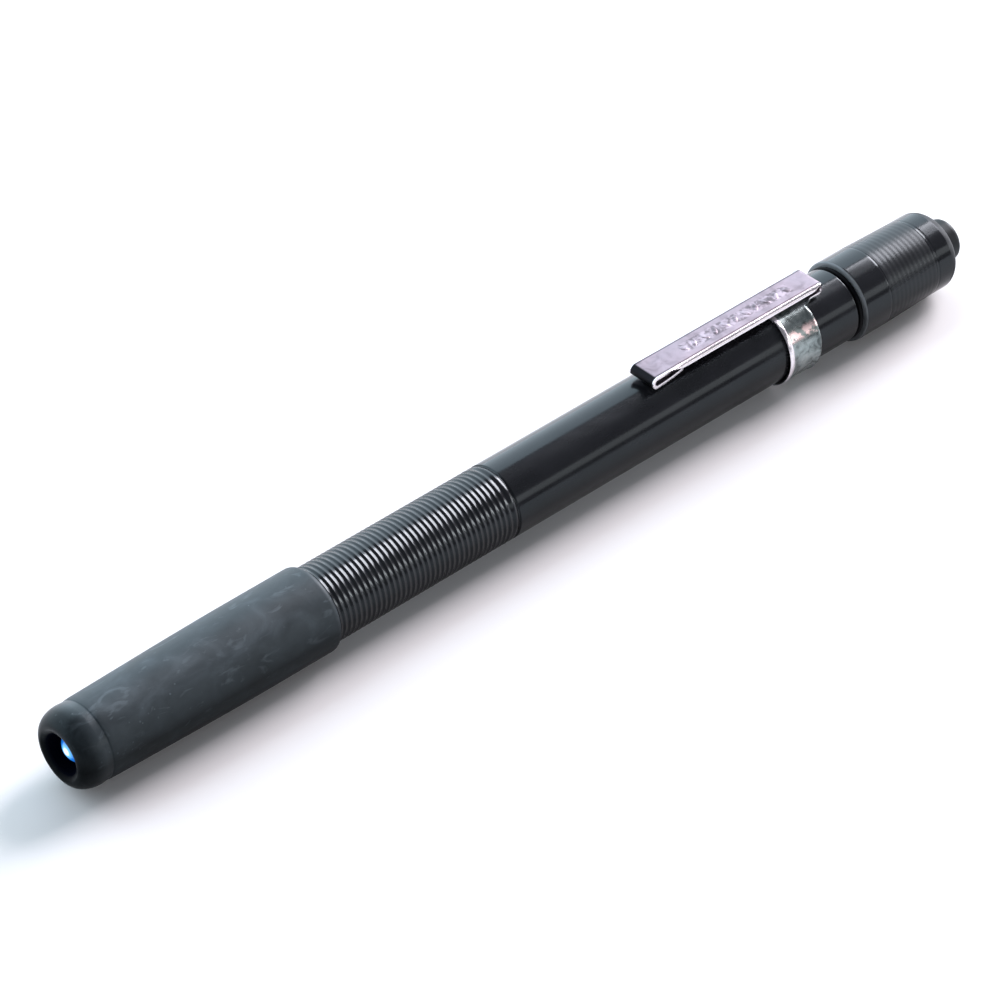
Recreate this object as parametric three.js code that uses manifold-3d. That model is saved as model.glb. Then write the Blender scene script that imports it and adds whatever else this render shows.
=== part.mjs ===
// Ultraviolet penlight for checking banknotes: rubber nose boot, ridged barrel, pocket clip,
// screw-on tail cap and push button, with three cells in line inside.
// Millimetres. The pen lies along X with its nose at -X and its clip up, at +Z. The origin is at
// the middle of its length, on the surface that it lies on.

import * as THREE from 'three';
import { mergeVertices } from 'three/addons/utils/BufferGeometryUtils.js';
import Module from 'manifold-3d';

const wasm = await Module();
wasm.setup();

// ---------------------------------------------------------------- driving dimensions

const LENGTH = 155.3;             // nose to button
const NOSE = -LENGTH / 2;
const TAIL = LENGTH / 2;
const GRIP_R = 5.92;              // boot's rear lip and cap's front land: the pen lies on these
const BARREL_R = 5.3;
const NECK_R = 4.85;              // turned-down ends of the barrel, inside boot and cap
const BORE_R = 4.35;
const GAP = 0.3;                  // between pieces that rest on each other
const FIT = 0.1;                  // between a piece and the bore that it sits in

const BOOT_REAR = -37.7;
const SHOULDER_REAR = -73.8;      // where the boot's rounded front ends
const FRONT_RING_R = 3.45;        // flat ring round the window
const WINDOW_R = 2.74;
const BARREL_FRONT = -72.5;
const BARREL_REAR = 54.95;        // end face; the threaded neck goes on from here
const NECK_REAR = 62;

const LED_R = 2.5;
const LED_TIP = NOSE + 1.05;
const LED_FLANGE_R = 2.9;
const LED_FLANGE = -69;           // front of the lamp's flange
const LED_BACK = LED_FLANGE + 1;
const LEAD_SPACING = 2.54;
const LEAD_WIDTH = 0.5;
const HOLDER_FRONT = BARREL_FRONT - 0.9;
const HOLDER_REAR = -64.7;
const BOOT_WALL = HOLDER_FRONT - 0.8;   // inner face of the boot's front wall
const BOARD_FRONT = -66.2;
const BOARD_REAR = -65.2;
const BOARD_R = 3.5;
const RESISTOR = { length: 1.6, height: 0.5, width: 0.8, offset: 2.1 };
const FRONT_CONTACT_R = 1.8;
const FRONT_CONTACT_REAR = -64.5;

const CELL_R = 4.15;
const CELL_LENGTH = 42.5;
const CELL_NUB_R = 1.6;
const CELL_NUB_H = 0.8;
const CELL_APART = 0.1;
const STACK_FRONT = -64.2;        // tip of the front cell

const CLIP_WIDTH = 4.5;
const CLIP_SHEET = 0.45;
const CLIP_TOP = 7.3;             // above the pen's axis, as the next two
const TONGUE_TOP = 5.9;
const TIP_LOW = 5.5;              // underside of the folded tip
const ARM_FRONT = 18.75;
const ARM_REAR = 50.95;
const TIP_FLAP = 5.2;             // length of the tip's returned flap
const BAND_FRONT = 41.25;
const BAND_REAR = 46.95;
const BAND_R = 5.35;              // inside
const BAND_SEAM = 0.8;            // slit under the barrel

const CAP_FRONT = 55.75;
const CAP_REAR = 74.45;
const CAP_WALL = 73;              // inner face of the cap's rear wall
const CAP_REAR_R = 5.7;
const CAP_BORE_R = NECK_R + 0.15;
const CAP_GRIP = [60.75, 69.85];  // the ridged zone
const BUTTON_R = 3.1;
const BUTTON_HOLE_R = 3.3;
const BUTTON_FLANGE_R = 3.9;
const BUTTON_FLANGE = [71.7, 72.4];
const BUTTON_TRAVEL = 1.2;
const HOUSING_R = CAP_BORE_R - FIT;
const HOUSING = [66.6, 72.6];
const HOUSING_LIP_R = 3;
const RETAINING_RING = [66, 66.5];
const RETAINING_RING_R = 4.2;     // inside
const CONTACT = [67.2, 67.8];
const PIN_R = 0.9;
const SPRING_R = 2.5;
const SPRING_TURNS = 4;
const CELL_WIRE_R = 0.25;
const BUTTON_WIRE_R = 0.2;
const SEAL_X = 72.7;

const OUTER_SIDES = 28;
const INNER_SIDES = 24;
const WIRE_SIDES = 6;
const STEPS_PER_TURN = 12;

// ---------------------------------------------------------------- helpers

const penlight = new THREE.Group();
const along = new THREE.Group();  // holds every piece; its own X axis is the pen's axis
along.position.z = GRIP_R;
penlight.add(along);

function weld(geometry) {
  geometry.deleteAttribute('normal');
  geometry.deleteAttribute('uv');
  const welded = mergeVertices(geometry, 1e-4);
  const index = Array.from(welded.index.array);
  const kept = [];
  for (let i = 0; i < index.length; i += 3) {
    const [a, b, c] = index.slice(i, i + 3);
    if (a !== b && b !== c && c !== a) kept.push(a, b, c);
  }
  welded.setIndex(kept);
  return volume(welded) < 0 ? turnedOut(welded) : welded;
}

function volume(geometry) {
  const place = geometry.attributes.position;
  const corner = [new THREE.Vector3(), new THREE.Vector3(), new THREE.Vector3()];
  let six = 0;
  for (let i = 0; i < geometry.index.count; i += 3) {
    corner.forEach((v, k) => v.fromBufferAttribute(place, geometry.index.getX(i + k)));
    six += corner[0].dot(corner[1].clone().cross(corner[2]));
  }
  return six / 6;
}

function turnedOut(geometry) {
  const index = Array.from(geometry.index.array);
  for (let i = 0; i < index.length; i += 3) {
    [index[i], index[i + 1]] = [index[i + 1], index[i]];
  }
  geometry.setIndex(index);
  return geometry;
}

function toManifold(geometry) {
  const solid = weld(geometry);
  return new wasm.Manifold(new wasm.Mesh({
    numProp: 3,
    vertProperties: Float32Array.from(solid.attributes.position.array),
    triVerts: Uint32Array.from(solid.index.array),
  }));
}

function fromManifold(solid) {
  const mesh = solid.getMesh();
  const geometry = new THREE.BufferGeometry();
  geometry.setAttribute('position', new THREE.BufferAttribute(mesh.vertProperties, 3));
  geometry.setIndex(Array.from(mesh.triVerts));
  return geometry;
}

// A solid of revolution about X from [x, radius] points. Its sides are flats that touch the true
// radius, with one flat exactly underneath, so that the pen rests level and doesn't roll.
function turned(points, sides = OUTER_SIDES) {
  const half = Math.PI / sides;
  const profile = points.map(([x, r]) => new THREE.Vector2(r / Math.cos(half), x));
  const lathe = new THREE.LatheGeometry(profile, sides, half);
  return weld(lathe.rotateZ(-Math.PI / 2));
}

// The same for a ring or sleeve: the profile is closed on itself.
function sleeve(points, sides = OUTER_SIDES) {
  return turned([...points, points[0]], sides);
}

// Points of a circular or elliptic corner in a profile, from angle a to b in degrees.
function corner(x, r, radiusX, radiusR, a, b, steps = 4) {
  return Array.from({ length: steps + 1 }, (_, k) => {
    const angle = THREE.MathUtils.degToRad(a + (b - a) * k / steps);
    return [x + radiusX * Math.cos(angle), r + radiusR * Math.sin(angle)];
  });
}

function disc(front, rear, radius) {
  return turned([[front, 0], [front, radius], [rear, radius], [rear, 0]], INNER_SIDES);
}

function ring(x, radius, wire) {
  return sleeve(corner(x, radius, wire, wire, 0, 300, 5));
}

// A sheet-metal strip: a path in the XZ plane, thickened to both sides and given its width along Y.
function strip(path, width, thickness) {
  const offset = (side) => path.map((point, i) => {
    const before = path[Math.max(i - 1, 0)];
    const after = path[Math.min(i + 1, path.length - 1)];
    const run = new THREE.Vector2(after[0] - before[0], after[1] - before[1]).normalize();
    return new THREE.Vector2(point[0] - run.y * side, point[1] + run.x * side);
  });
  const outline = [...offset(thickness / 2), ...offset(-thickness / 2).reverse()];
  return plate(new THREE.Shape(outline), width);
}

// An outline in the XZ plane, extruded along Y and centred on it.
function plate(shape, width) {
  const extruded = new THREE.ExtrudeGeometry(shape, { depth: width, bevelEnabled: false });
  return extruded.rotateX(Math.PI / 2).translate(0, width / 2, 0);
}

class Helix extends THREE.Curve {
  constructor(start, end, radius, turns) {
    super();
    Object.assign(this, { start, end, radius, turns });
  }

  getPoint(t, target = new THREE.Vector3()) {
    const angle = 2 * Math.PI * this.turns * t;
    const x = THREE.MathUtils.lerp(this.start, this.end, t);
    return target.set(x, this.radius * Math.cos(angle), this.radius * Math.sin(angle));
  }
}

function coil(start, end, radius, wire, turns) {
  const section = new THREE.Shape(
    Array.from({ length: WIRE_SIDES }, (_, k) => {
      const angle = 2 * Math.PI * k / WIRE_SIDES;
      return new THREE.Vector2(wire * Math.cos(angle), wire * Math.sin(angle));
    }),
  );
  const extrudePath = new Helix(start + wire, end - wire, radius, turns);
  const steps = turns * STEPS_PER_TURN;
  return weld(new THREE.ExtrudeGeometry(section, { steps, extrudePath, bevelEnabled: false }));
}

function box(low, high) {
  const size = high.map((value, i) => value - low[i]);
  const centre = high.map((value, i) => (value + low[i]) / 2);
  return new THREE.BoxGeometry(...size).translate(...centre);
}

const finishes = {
  rubber: { color: 0x2c333a, roughness: 0.75, metalness: 0 },
  seal: { color: 0x0b0b0c, roughness: 0.6, metalness: 0 },
  anodised: { color: 0x1a1b1e, roughness: 0.25, metalness: 0.6 },
  plated: { color: 0xb6b0b8, roughness: 0.25, metalness: 1 },
  lens: { color: 0x2f8cff, roughness: 0.1, metalness: 0 },
  brass: { color: 0xc8a352, roughness: 0.35, metalness: 1 },
  steel: { color: 0xa9abae, roughness: 0.35, metalness: 1 },
  board: { color: 0x1d6a3a, roughness: 0.5, metalness: 0 },
  component: { color: 0x151515, roughness: 0.5, metalness: 0 },
  wrapper: { color: 0x7d8f2e, roughness: 0.35, metalness: 0.2 },
  button: { color: 0x141415, roughness: 0.45, metalness: 0 },
  insulator: { color: 0xe4e0d2, roughness: 0.6, metalness: 0 },
};

function piece(name, geometry, finish) {
  const mesh = new THREE.Mesh(geometry, new THREE.MeshStandardMaterial(finishes[finish]));
  mesh.name = name;
  along.add(mesh);
}

// ---------------------------------------------------------------- nose

function noseBoot() {
  const shoulderLength = SHOULDER_REAR - NOSE;
  const shoulderDepth = 5.42 - FRONT_RING_R;
  const shoulder = corner(SHOULDER_REAR, FRONT_RING_R, -shoulderLength, shoulderDepth, 0, 90, 5);
  const taper = [[-71.2, 5.5], [-64.6, 5.65], [-57.8, 5.8], [-50.9, GRIP_R]];
  const lipRound = 0.9;
  const lip = corner(BOOT_REAR - lipRound, GRIP_R - lipRound, lipRound, lipRound, 90, 10, 4);
  const bore = NECK_R + FIT;
  return sleeve([
    [NOSE, WINDOW_R],
    ...shoulder,
    ...taper,
    ...lip,
    [BOOT_REAR, bore],
    [BOOT_WALL, bore],
    [BOOT_WALL, WINDOW_R],
  ]);
}

function uvLed() {
  const dome = corner(LED_TIP + LED_R, 0, -LED_R, LED_R, 0, 90, 5);
  return turned([
    ...dome,
    [LED_FLANGE, LED_R],
    [LED_FLANGE, LED_FLANGE_R],
    [LED_BACK, LED_FLANGE_R],
    [LED_BACK, 0],
  ], INNER_SIDES);
}

function ledHolder() {
  const lampBore = LED_R + 0.15;
  const flangeBore = LED_FLANGE_R + 0.15;
  const boardBore = BOARD_R + FIT;
  return sleeve([
    [HOLDER_FRONT, lampBore],
    [HOLDER_FRONT, NECK_R - FIT],
    [BARREL_FRONT - FIT, NECK_R - FIT],
    [BARREL_FRONT - FIT, BORE_R - FIT],
    [HOLDER_REAR, BORE_R - FIT],
    [HOLDER_REAR, boardBore],
    [LED_BACK + GAP, boardBore],
    [LED_BACK + GAP, flangeBore],
    [LED_FLANGE - FIT, flangeBore],
    [LED_FLANGE - FIT, lampBore],
  ]);
}

function lead(y) {
  const half = LEAD_WIDTH / 2;
  return box([LED_BACK + FIT, y - half, -half], [BOARD_FRONT - FIT, y + half, half]);
}

function resistor() {
  const { length, height, width, offset } = RESISTOR;
  const top = BOARD_FRONT - FIT;
  return box([top - height, -length / 2, offset - width / 2], [top, length / 2, offset + width / 2]);
}

const lensRing = { x: (BOOT_WALL + HOLDER_FRONT) / 2, radius: 3, wire: 0.33 };

piece('nose_boot', noseBoot(), 'rubber');
piece('lens_oring', ring(lensRing.x, lensRing.radius, lensRing.wire), 'seal');
piece('uv_led', uvLed(), 'lens');
piece('led_holder', ledHolder(), 'brass');
piece('led_anode', lead(LEAD_SPACING / 2), 'steel');
piece('led_cathode', lead(-LEAD_SPACING / 2), 'steel');
piece('driver_board', disc(BOARD_FRONT, BOARD_REAR, BOARD_R), 'board');
piece('ballast_resistor', resistor(), 'component');
piece('front_contact', disc(BOARD_REAR + FIT, FRONT_CONTACT_REAR, FRONT_CONTACT_R), 'brass');

// ---------------------------------------------------------------- barrel and cells

function barrelTube() {
  const chamfer = 0.3;
  return sleeve([
    [BARREL_FRONT, BORE_R],
    [BARREL_FRONT, NECK_R],
    [BOOT_REAR + GAP, NECK_R],
    [BOOT_REAR + GAP, BARREL_R],
    [BARREL_REAR - chamfer, BARREL_R],
    [BARREL_REAR, BARREL_R - chamfer],
    [BARREL_REAR, NECK_R],
    [NECK_REAR - chamfer, NECK_R],
    [NECK_REAR, NECK_R - chamfer],
    [NECK_REAR, BORE_R],
  ]);
}

function cell(front) {
  const can = front + CELL_NUB_H;
  const rear = front + CELL_LENGTH;
  const edge = 0.4;
  return turned([
    [front, 0],
    [front, CELL_NUB_R],
    [can, CELL_NUB_R],
    [can, CELL_R - edge],
    [can + edge, CELL_R],
    [rear - edge, CELL_R],
    [rear, CELL_R - edge],
    [rear, 0],
  ], INNER_SIDES);
}

piece('barrel_tube', barrelTube(), 'anodised');
['cell_front', 'cell_middle', 'cell_rear'].forEach((name, i) => {
  piece(name, cell(STACK_FRONT + i * (CELL_LENGTH + CELL_APART)), 'wrapper');
});

const tailRing = { x: (BARREL_REAR + CAP_FRONT) / 2, radius: 5.2, wire: 0.33 };

piece('tail_oring', ring(tailRing.x, tailRing.radius, tailRing.wire), 'seal');

// ---------------------------------------------------------------- pocket clip

const FOLD_RADIUS = (CLIP_TOP - TONGUE_TOP) / 2;  // to the middle of the sheet
const FOLD_X = ARM_REAR - FOLD_RADIUS - CLIP_SHEET / 2;
const FOLD_Z = (CLIP_TOP + TONGUE_TOP - CLIP_SHEET) / 2;

function clipArm() {
  const middle = CLIP_TOP - CLIP_SHEET / 2;
  const tipRadius = (middle - TIP_LOW - CLIP_SHEET / 2) / 2;
  const tipX = ARM_FRONT + tipRadius + CLIP_SHEET / 2;
  const fold = corner(FOLD_X, FOLD_Z, FOLD_RADIUS, FOLD_RADIUS, -90, 90, 8);
  const tip = corner(tipX, middle - tipRadius, tipRadius, tipRadius, 90, 270, 8);
  const flapEnd = [ARM_FRONT + TIP_FLAP, middle - CLIP_SHEET - GAP];
  const arm = strip([...fold, ...tip, flapEnd], CLIP_WIDTH, CLIP_SHEET);
  return fromManifold(toManifold(arm).intersect(toManifold(armPlan())));
}

// The arm's outline seen from above: a straight strip with its two rear corners rounded.
function armPlan() {
  const half = CLIP_WIDTH / 2;
  const round = 0.9;
  const past = 1;
  const outline = new THREE.Shape();
  outline.moveTo(ARM_FRONT - past, -half);
  outline.lineTo(ARM_REAR - round, -half);
  outline.quadraticCurveTo(ARM_REAR, -half, ARM_REAR, -half + round);
  outline.lineTo(ARM_REAR, half - round);
  outline.quadraticCurveTo(ARM_REAR, half, ARM_REAR - round, half);
  outline.lineTo(ARM_FRONT - past, half);
  const depth = CLIP_TOP + past;
  return new THREE.ExtrudeGeometry(outline, { depth, bevelEnabled: false, curveSegments: 4 });
}

function clipBand() {
  const outer = BAND_R + CLIP_SHEET;
  const past = 1;
  const hoop = toManifold(sleeve([
    [BAND_FRONT, BAND_R],
    [BAND_FRONT, outer],
    [BAND_REAR, outer],
    [BAND_REAR, BAND_R],
  ]));
  const slit = toManifold(box(
    [BAND_FRONT - past, -BAND_SEAM / 2, -outer - past],
    [BAND_REAR + past, BAND_SEAM / 2, 0],
  ));
  const half = CLIP_WIDTH / 2;
  const tongue = toManifold(box(
    [BAND_FRONT, -half, TONGUE_TOP - CLIP_SHEET],
    [FOLD_X - GAP, half, TONGUE_TOP],
  ));
  return fromManifold(hoop.subtract(slit).add(tongue));
}

piece('clip_arm', clipArm(), 'plated');
piece('clip_band', clipBand(), 'plated');

// ---------------------------------------------------------------- tail cap and switch

function tailCap() {
  const chamfer = 0.25;
  const edge = 1.2;
  return sleeve([
    [CAP_FRONT, CAP_BORE_R],
    [CAP_FRONT, GRIP_R - chamfer],
    [CAP_FRONT + chamfer, GRIP_R],
    [CAP_GRIP[0], GRIP_R],
    [CAP_GRIP[1], CAP_REAR_R],
    ...corner(CAP_REAR - edge, CAP_REAR_R - edge, edge, edge, 90, 0, 4),
    [CAP_REAR, BUTTON_HOLE_R],
    [CAP_WALL, BUTTON_HOLE_R],
    [CAP_WALL, CAP_BORE_R],
  ]);
}

function pushButton() {
  const edge = 0.7;
  return turned([
    [BUTTON_FLANGE[0], 0],
    [BUTTON_FLANGE[0], BUTTON_FLANGE_R],
    [BUTTON_FLANGE[1], BUTTON_FLANGE_R],
    [BUTTON_FLANGE[1], BUTTON_R],
    ...corner(TAIL - edge, BUTTON_R - edge, edge, edge, 90, 0, 4),
    [TAIL, 0],
  ]);
}

function switchHousing() {
  const bore = BUTTON_FLANGE_R + 0.15;
  const lipRear = CONTACT[0] - FIT;
  return sleeve([
    [HOUSING[0], HOUSING_LIP_R],
    [HOUSING[0], HOUSING_R],
    [HOUSING[1], HOUSING_R],
    [HOUSING[1], bore],
    [lipRear, bore],
    [lipRear, HOUSING_LIP_R],
  ]);
}

function switchPin() {
  const tip = CONTACT[1] + BUTTON_TRAVEL + GAP;
  const rear = BUTTON_FLANGE[0] - FIT;
  const chamfer = 0.3;
  return turned([
    [tip, 0],
    [tip, PIN_R - chamfer],
    [tip + chamfer, PIN_R],
    [rear, PIN_R],
    [rear, 0],
  ], INNER_SIDES);
}

function retainingRing() {
  const [front, rear] = RETAINING_RING;
  return sleeve([[front, RETAINING_RING_R], [front, HOUSING_R], [rear, HOUSING_R], [rear, RETAINING_RING_R]]);
}

const cellsRear = STACK_FRONT + 3 * CELL_LENGTH + 2 * CELL_APART;
const cellSpring = [cellsRear + FIT, CONTACT[0] - FIT];
const buttonSpring = [CONTACT[1] + FIT, BUTTON_FLANGE[0] - FIT];
const sealRing = { radius: 3.55, wire: 0.22 };

piece('tail_cap', tailCap(), 'anodised');
piece('retaining_ring', retainingRing(), 'steel');
piece('switch_housing', switchHousing(), 'insulator');
piece('contact_disc', disc(CONTACT[0], CONTACT[1], BUTTON_FLANGE_R), 'brass');
piece('cell_spring', coil(...cellSpring, SPRING_R, CELL_WIRE_R, SPRING_TURNS), 'steel');
piece('button_spring', coil(...buttonSpring, SPRING_R, BUTTON_WIRE_R, SPRING_TURNS), 'steel');
piece('switch_pin', switchPin(), 'brass');
piece('push_button', pushButton(), 'button');
piece('button_seal', ring(SEAL_X, sealRing.radius, sealRing.wire), 'seal');

export default penlight;
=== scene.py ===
"""Ultraviolet banknote penlight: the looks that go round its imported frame."""

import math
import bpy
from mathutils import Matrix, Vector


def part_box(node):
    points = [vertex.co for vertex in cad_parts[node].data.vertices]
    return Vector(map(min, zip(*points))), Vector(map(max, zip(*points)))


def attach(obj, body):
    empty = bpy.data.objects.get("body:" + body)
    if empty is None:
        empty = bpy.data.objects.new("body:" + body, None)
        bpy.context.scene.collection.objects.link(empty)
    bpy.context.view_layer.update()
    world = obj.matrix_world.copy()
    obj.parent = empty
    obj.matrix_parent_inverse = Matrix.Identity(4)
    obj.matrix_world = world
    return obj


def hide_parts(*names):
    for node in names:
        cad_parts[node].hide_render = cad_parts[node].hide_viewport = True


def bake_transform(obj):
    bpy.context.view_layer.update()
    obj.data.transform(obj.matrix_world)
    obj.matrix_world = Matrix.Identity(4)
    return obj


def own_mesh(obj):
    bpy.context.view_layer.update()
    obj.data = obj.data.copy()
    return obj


bl_info = {
    "name": "Banknote Penlight",
    "version": (1, 0, 0),
    "blender": (4, 5, 0),
    "location": "View3D > Sidebar > Penlight",
    "description": "Builds the looks of an ultraviolet penlight round its packed frame",
    "category": "Add Mesh",
}

import bpy
from bpy.props import FloatProperty, FloatVectorProperty, IntProperty, PointerProperty
from mathutils import Matrix, Vector

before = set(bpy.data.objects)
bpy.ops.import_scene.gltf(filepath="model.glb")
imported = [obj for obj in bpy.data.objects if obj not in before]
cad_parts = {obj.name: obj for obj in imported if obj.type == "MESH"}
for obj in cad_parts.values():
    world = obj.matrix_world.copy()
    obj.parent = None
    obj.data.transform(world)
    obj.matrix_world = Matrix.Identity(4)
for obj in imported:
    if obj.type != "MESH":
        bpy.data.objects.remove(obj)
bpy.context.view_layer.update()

MM = 0.001
SEGMENTS = 96
SMOOTH_ANGLE = math.radians(32)
RIDGED_ANGLE = math.radians(40)
ON_AXIS = 0.0001 * MM
TINY = 1e-6 * MM
COLD_SHEEN = (0.8, 0.94, 1.0, 1.0)

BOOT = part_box("nose_boot")
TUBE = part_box("barrel_tube")
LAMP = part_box("uv_led")
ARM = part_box("clip_arm")
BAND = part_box("clip_band")
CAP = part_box("tail_cap")
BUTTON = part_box("push_button")
AXIS_Z = (TUBE[0].z + TUBE[1].z) / 2

# ---- profiles


def arc(x, r, radius_x, radius_r, start, end, steps):
    """Points on an ellipse in the pen's long section; angles in degrees, 0 towards the tail."""
    points = []
    for k in range(steps + 1):
        angle = math.radians(start + (end - start) * k / steps)
        points.append((x + radius_x * math.cos(angle), r + radius_r * math.sin(angle)))
    return points


def rounded(points, steps=4):
    """A profile in metres from corners in millimetres, each (x, r) or (x, r, rounding)."""
    result = []
    for k, point in enumerate(points):
        if len(point) < 3:
            result.append(point)
            continue
        here = Vector(point[:2])
        before = Vector(points[k - 1][:2]) - here
        after = Vector(points[k + 1][:2]) - here
        reach = min(point[2], before.length * 0.48, after.length * 0.48)
        a, b = here + before.normalized() * reach, here + after.normalized() * reach
        for n in range(steps + 1):
            t = n / steps
            mix = a * (1 - t) ** 2 + here * (2 * t * (1 - t)) + b * t * t
            result.append((mix.x, mix.y))
    return [(x * MM, r * MM) for x, r in held(result)]


def held(points, margin=0.1, shortest=0.5):
    """The profile with one more point near both ends of long stretches, which keeps them flat."""
    result = points[:1]
    for before, after in zip(points, points[1:]):
        start, step = Vector(before), Vector(after) - Vector(before)
        if step.length > shortest:
            inset = step.normalized() * margin
            result += [tuple(start + inset), tuple(start + step - inset)]
        result.append(after)
    return result


# ---- meshes


def new_object(name, verts, faces):
    mesh = bpy.data.meshes.new(name)
    mesh.from_pydata([tuple(v) for v in verts], [], faces)
    mesh.validate()
    piece = bpy.data.objects.new(name, mesh)
    bpy.context.scene.collection.objects.link(piece)
    return piece


def soften(piece, angle=SMOOTH_ANGLE):
    piece.data.shade_smooth()
    piece.data.set_sharp_from_angle(angle=angle)


def turned_piece(name, chains, finish, segments=SEGMENTS):
    """A piece turned about the pen's axis. A chain is (profile, closed). Its profile runs towards
    the tail on the outside and back on the inside, so that faces point away from the material."""
    verts, faces = [], []
    for profile, closed in chains:
        rings = []
        for x, r in profile:
            first = len(verts)
            count = segments if r > ON_AXIS else 1
            for k in range(count):
                angle = 2 * math.pi * k / segments
                verts.append((x, r * math.sin(angle), AXIS_Z + r * math.cos(angle)))
            rings.append([first + k % count for k in range(segments)])
        following = rings[1:] + (rings[:1] if closed else [])
        for ring, after in zip(rings, following):
            faces.extend(wall_between(ring, after))
    piece = new_object(name, verts, faces)
    soften(piece)
    paint(piece, finish)
    return piece


def wall_between(ring, after):
    """The faces between two rings; a ring on the axis is one point many times."""
    walls = zip(ring, after, after[1:] + after[:1], ring[1:] + ring[:1])
    faces = [list(dict.fromkeys(corners)) for corners in walls]
    return [face for face in faces if len(face) > 2]


def bake(piece):
    """Turns the piece's evaluated shape into its plain mesh and removes its modifiers."""
    bpy.context.view_layer.update()
    depsgraph = bpy.context.evaluated_depsgraph_get()
    mesh = bpy.data.meshes.new_from_object(piece.evaluated_get(depsgraph), depsgraph=depsgraph)
    if not mesh.polygons:
        raise RuntimeError(f"{piece.name} came out empty")
    piece.modifiers.clear()
    piece.data = mesh
    mesh.name = piece.name


def paint(piece, material):
    piece.data.materials.clear()
    piece.data.materials.append(material)


def settle(piece, body, material_slot, *nodes):
    """Puts a finished piece on its body, in the place of its CAD nodes."""
    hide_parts(*nodes)
    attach(piece, body)


# ---- geometry nodes


class NodeWriter:
    """A node tree that is being written."""

    def node(self, kind, inputs=None, **settings):
        node = self.tree.nodes.new(kind)
        for key, value in settings.items():
            setattr(node, key, value)
        for key, value in (inputs or {}).items():
            self.feed(node.inputs[key], value)
        return node

    def out(self, kind, inputs=None, **settings):
        """The first output of a new node."""
        return self.node(kind, inputs, **settings).outputs[0]

    def feed(self, socket, value):
        if isinstance(value, bpy.types.NodeSocket):
            self.tree.links.new(value, socket)
        else:
            socket.default_value = value

    def math(self, operation, a, b=0.0):
        return self.out("ShaderNodeMath", {0: a, 1: b}, operation=operation)

    def add(self, a, b):
        return self.math("ADD", a, b)

    def sub(self, a, b):
        return self.math("SUBTRACT", a, b)

    def mul(self, a, b):
        return self.math("MULTIPLY", a, b)

    def div(self, a, b):
        return self.math("DIVIDE", a, b)

    def axes(self, place):
        """The x, y and z of a place."""
        return self.node("ShaderNodeSeparateXYZ", {0: place}).outputs


class Recipe(NodeWriter):
    """A Geometry Nodes tree that is being written."""

    def __init__(self, name, inputs):
        self.tree = bpy.data.node_groups.new(name, "GeometryNodeTree")
        face = self.tree.interface
        face.new_socket("Geometry", in_out="OUTPUT", socket_type="NodeSocketGeometry")
        for kind in ("Geometry", "Material"):
            face.new_socket(kind, in_out="INPUT", socket_type="NodeSocket" + kind)
        kinds = {int: "NodeSocketInt", float: "NodeSocketFloat", tuple: "NodeSocketVector"}
        for label, default in inputs.items():
            socket = face.new_socket(label, in_out="INPUT", socket_type=kinds[type(default)])
            socket.default_value = default
        self.inputs = self.tree.nodes.new("NodeGroupInput").outputs
        self.output = self.tree.nodes.new("NodeGroupOutput").inputs["Geometry"]

    def place(self):
        """The x, y and z of the points' own places."""
        return self.axes(self.out("GeometryNodeInputPosition"))

    def vector(self, x, y, z):
        return self.out("ShaderNodeCombineXYZ", {0: x, 1: y, 2: z})

    def join(self, *parts):
        node = self.node("GeometryNodeJoinGeometry")
        for part in parts:
            self.tree.links.new(part, node.inputs[0])
        return node.outputs[0]

    def finish(self, geometry):
        """Ends the tree in smooth shading, real geometry and the finish."""
        smooth = self.out("GeometryNodeSetShadeSmooth", {"Geometry": geometry})
        real = self.out("GeometryNodeRealizeInstances", {"Geometry": smooth})
        self.feed(self.output, self.out("GeometryNodeSetMaterial", {
            "Geometry": real, "Material": self.inputs["Material"],
        }))
        return self.tree


def apply_recipe(piece, tree, values):
    """Adds the tree to the piece, with its inputs set by their identifiers."""
    modifier = piece.modifiers.new(tree.name, "NODES")
    modifier.node_group = tree
    for item in tree.interface.items_tree:
        if item.item_type == "SOCKET" and item.in_out == "INPUT" and item.name in values:
            modifier[item.identifier] = values[item.name]


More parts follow.
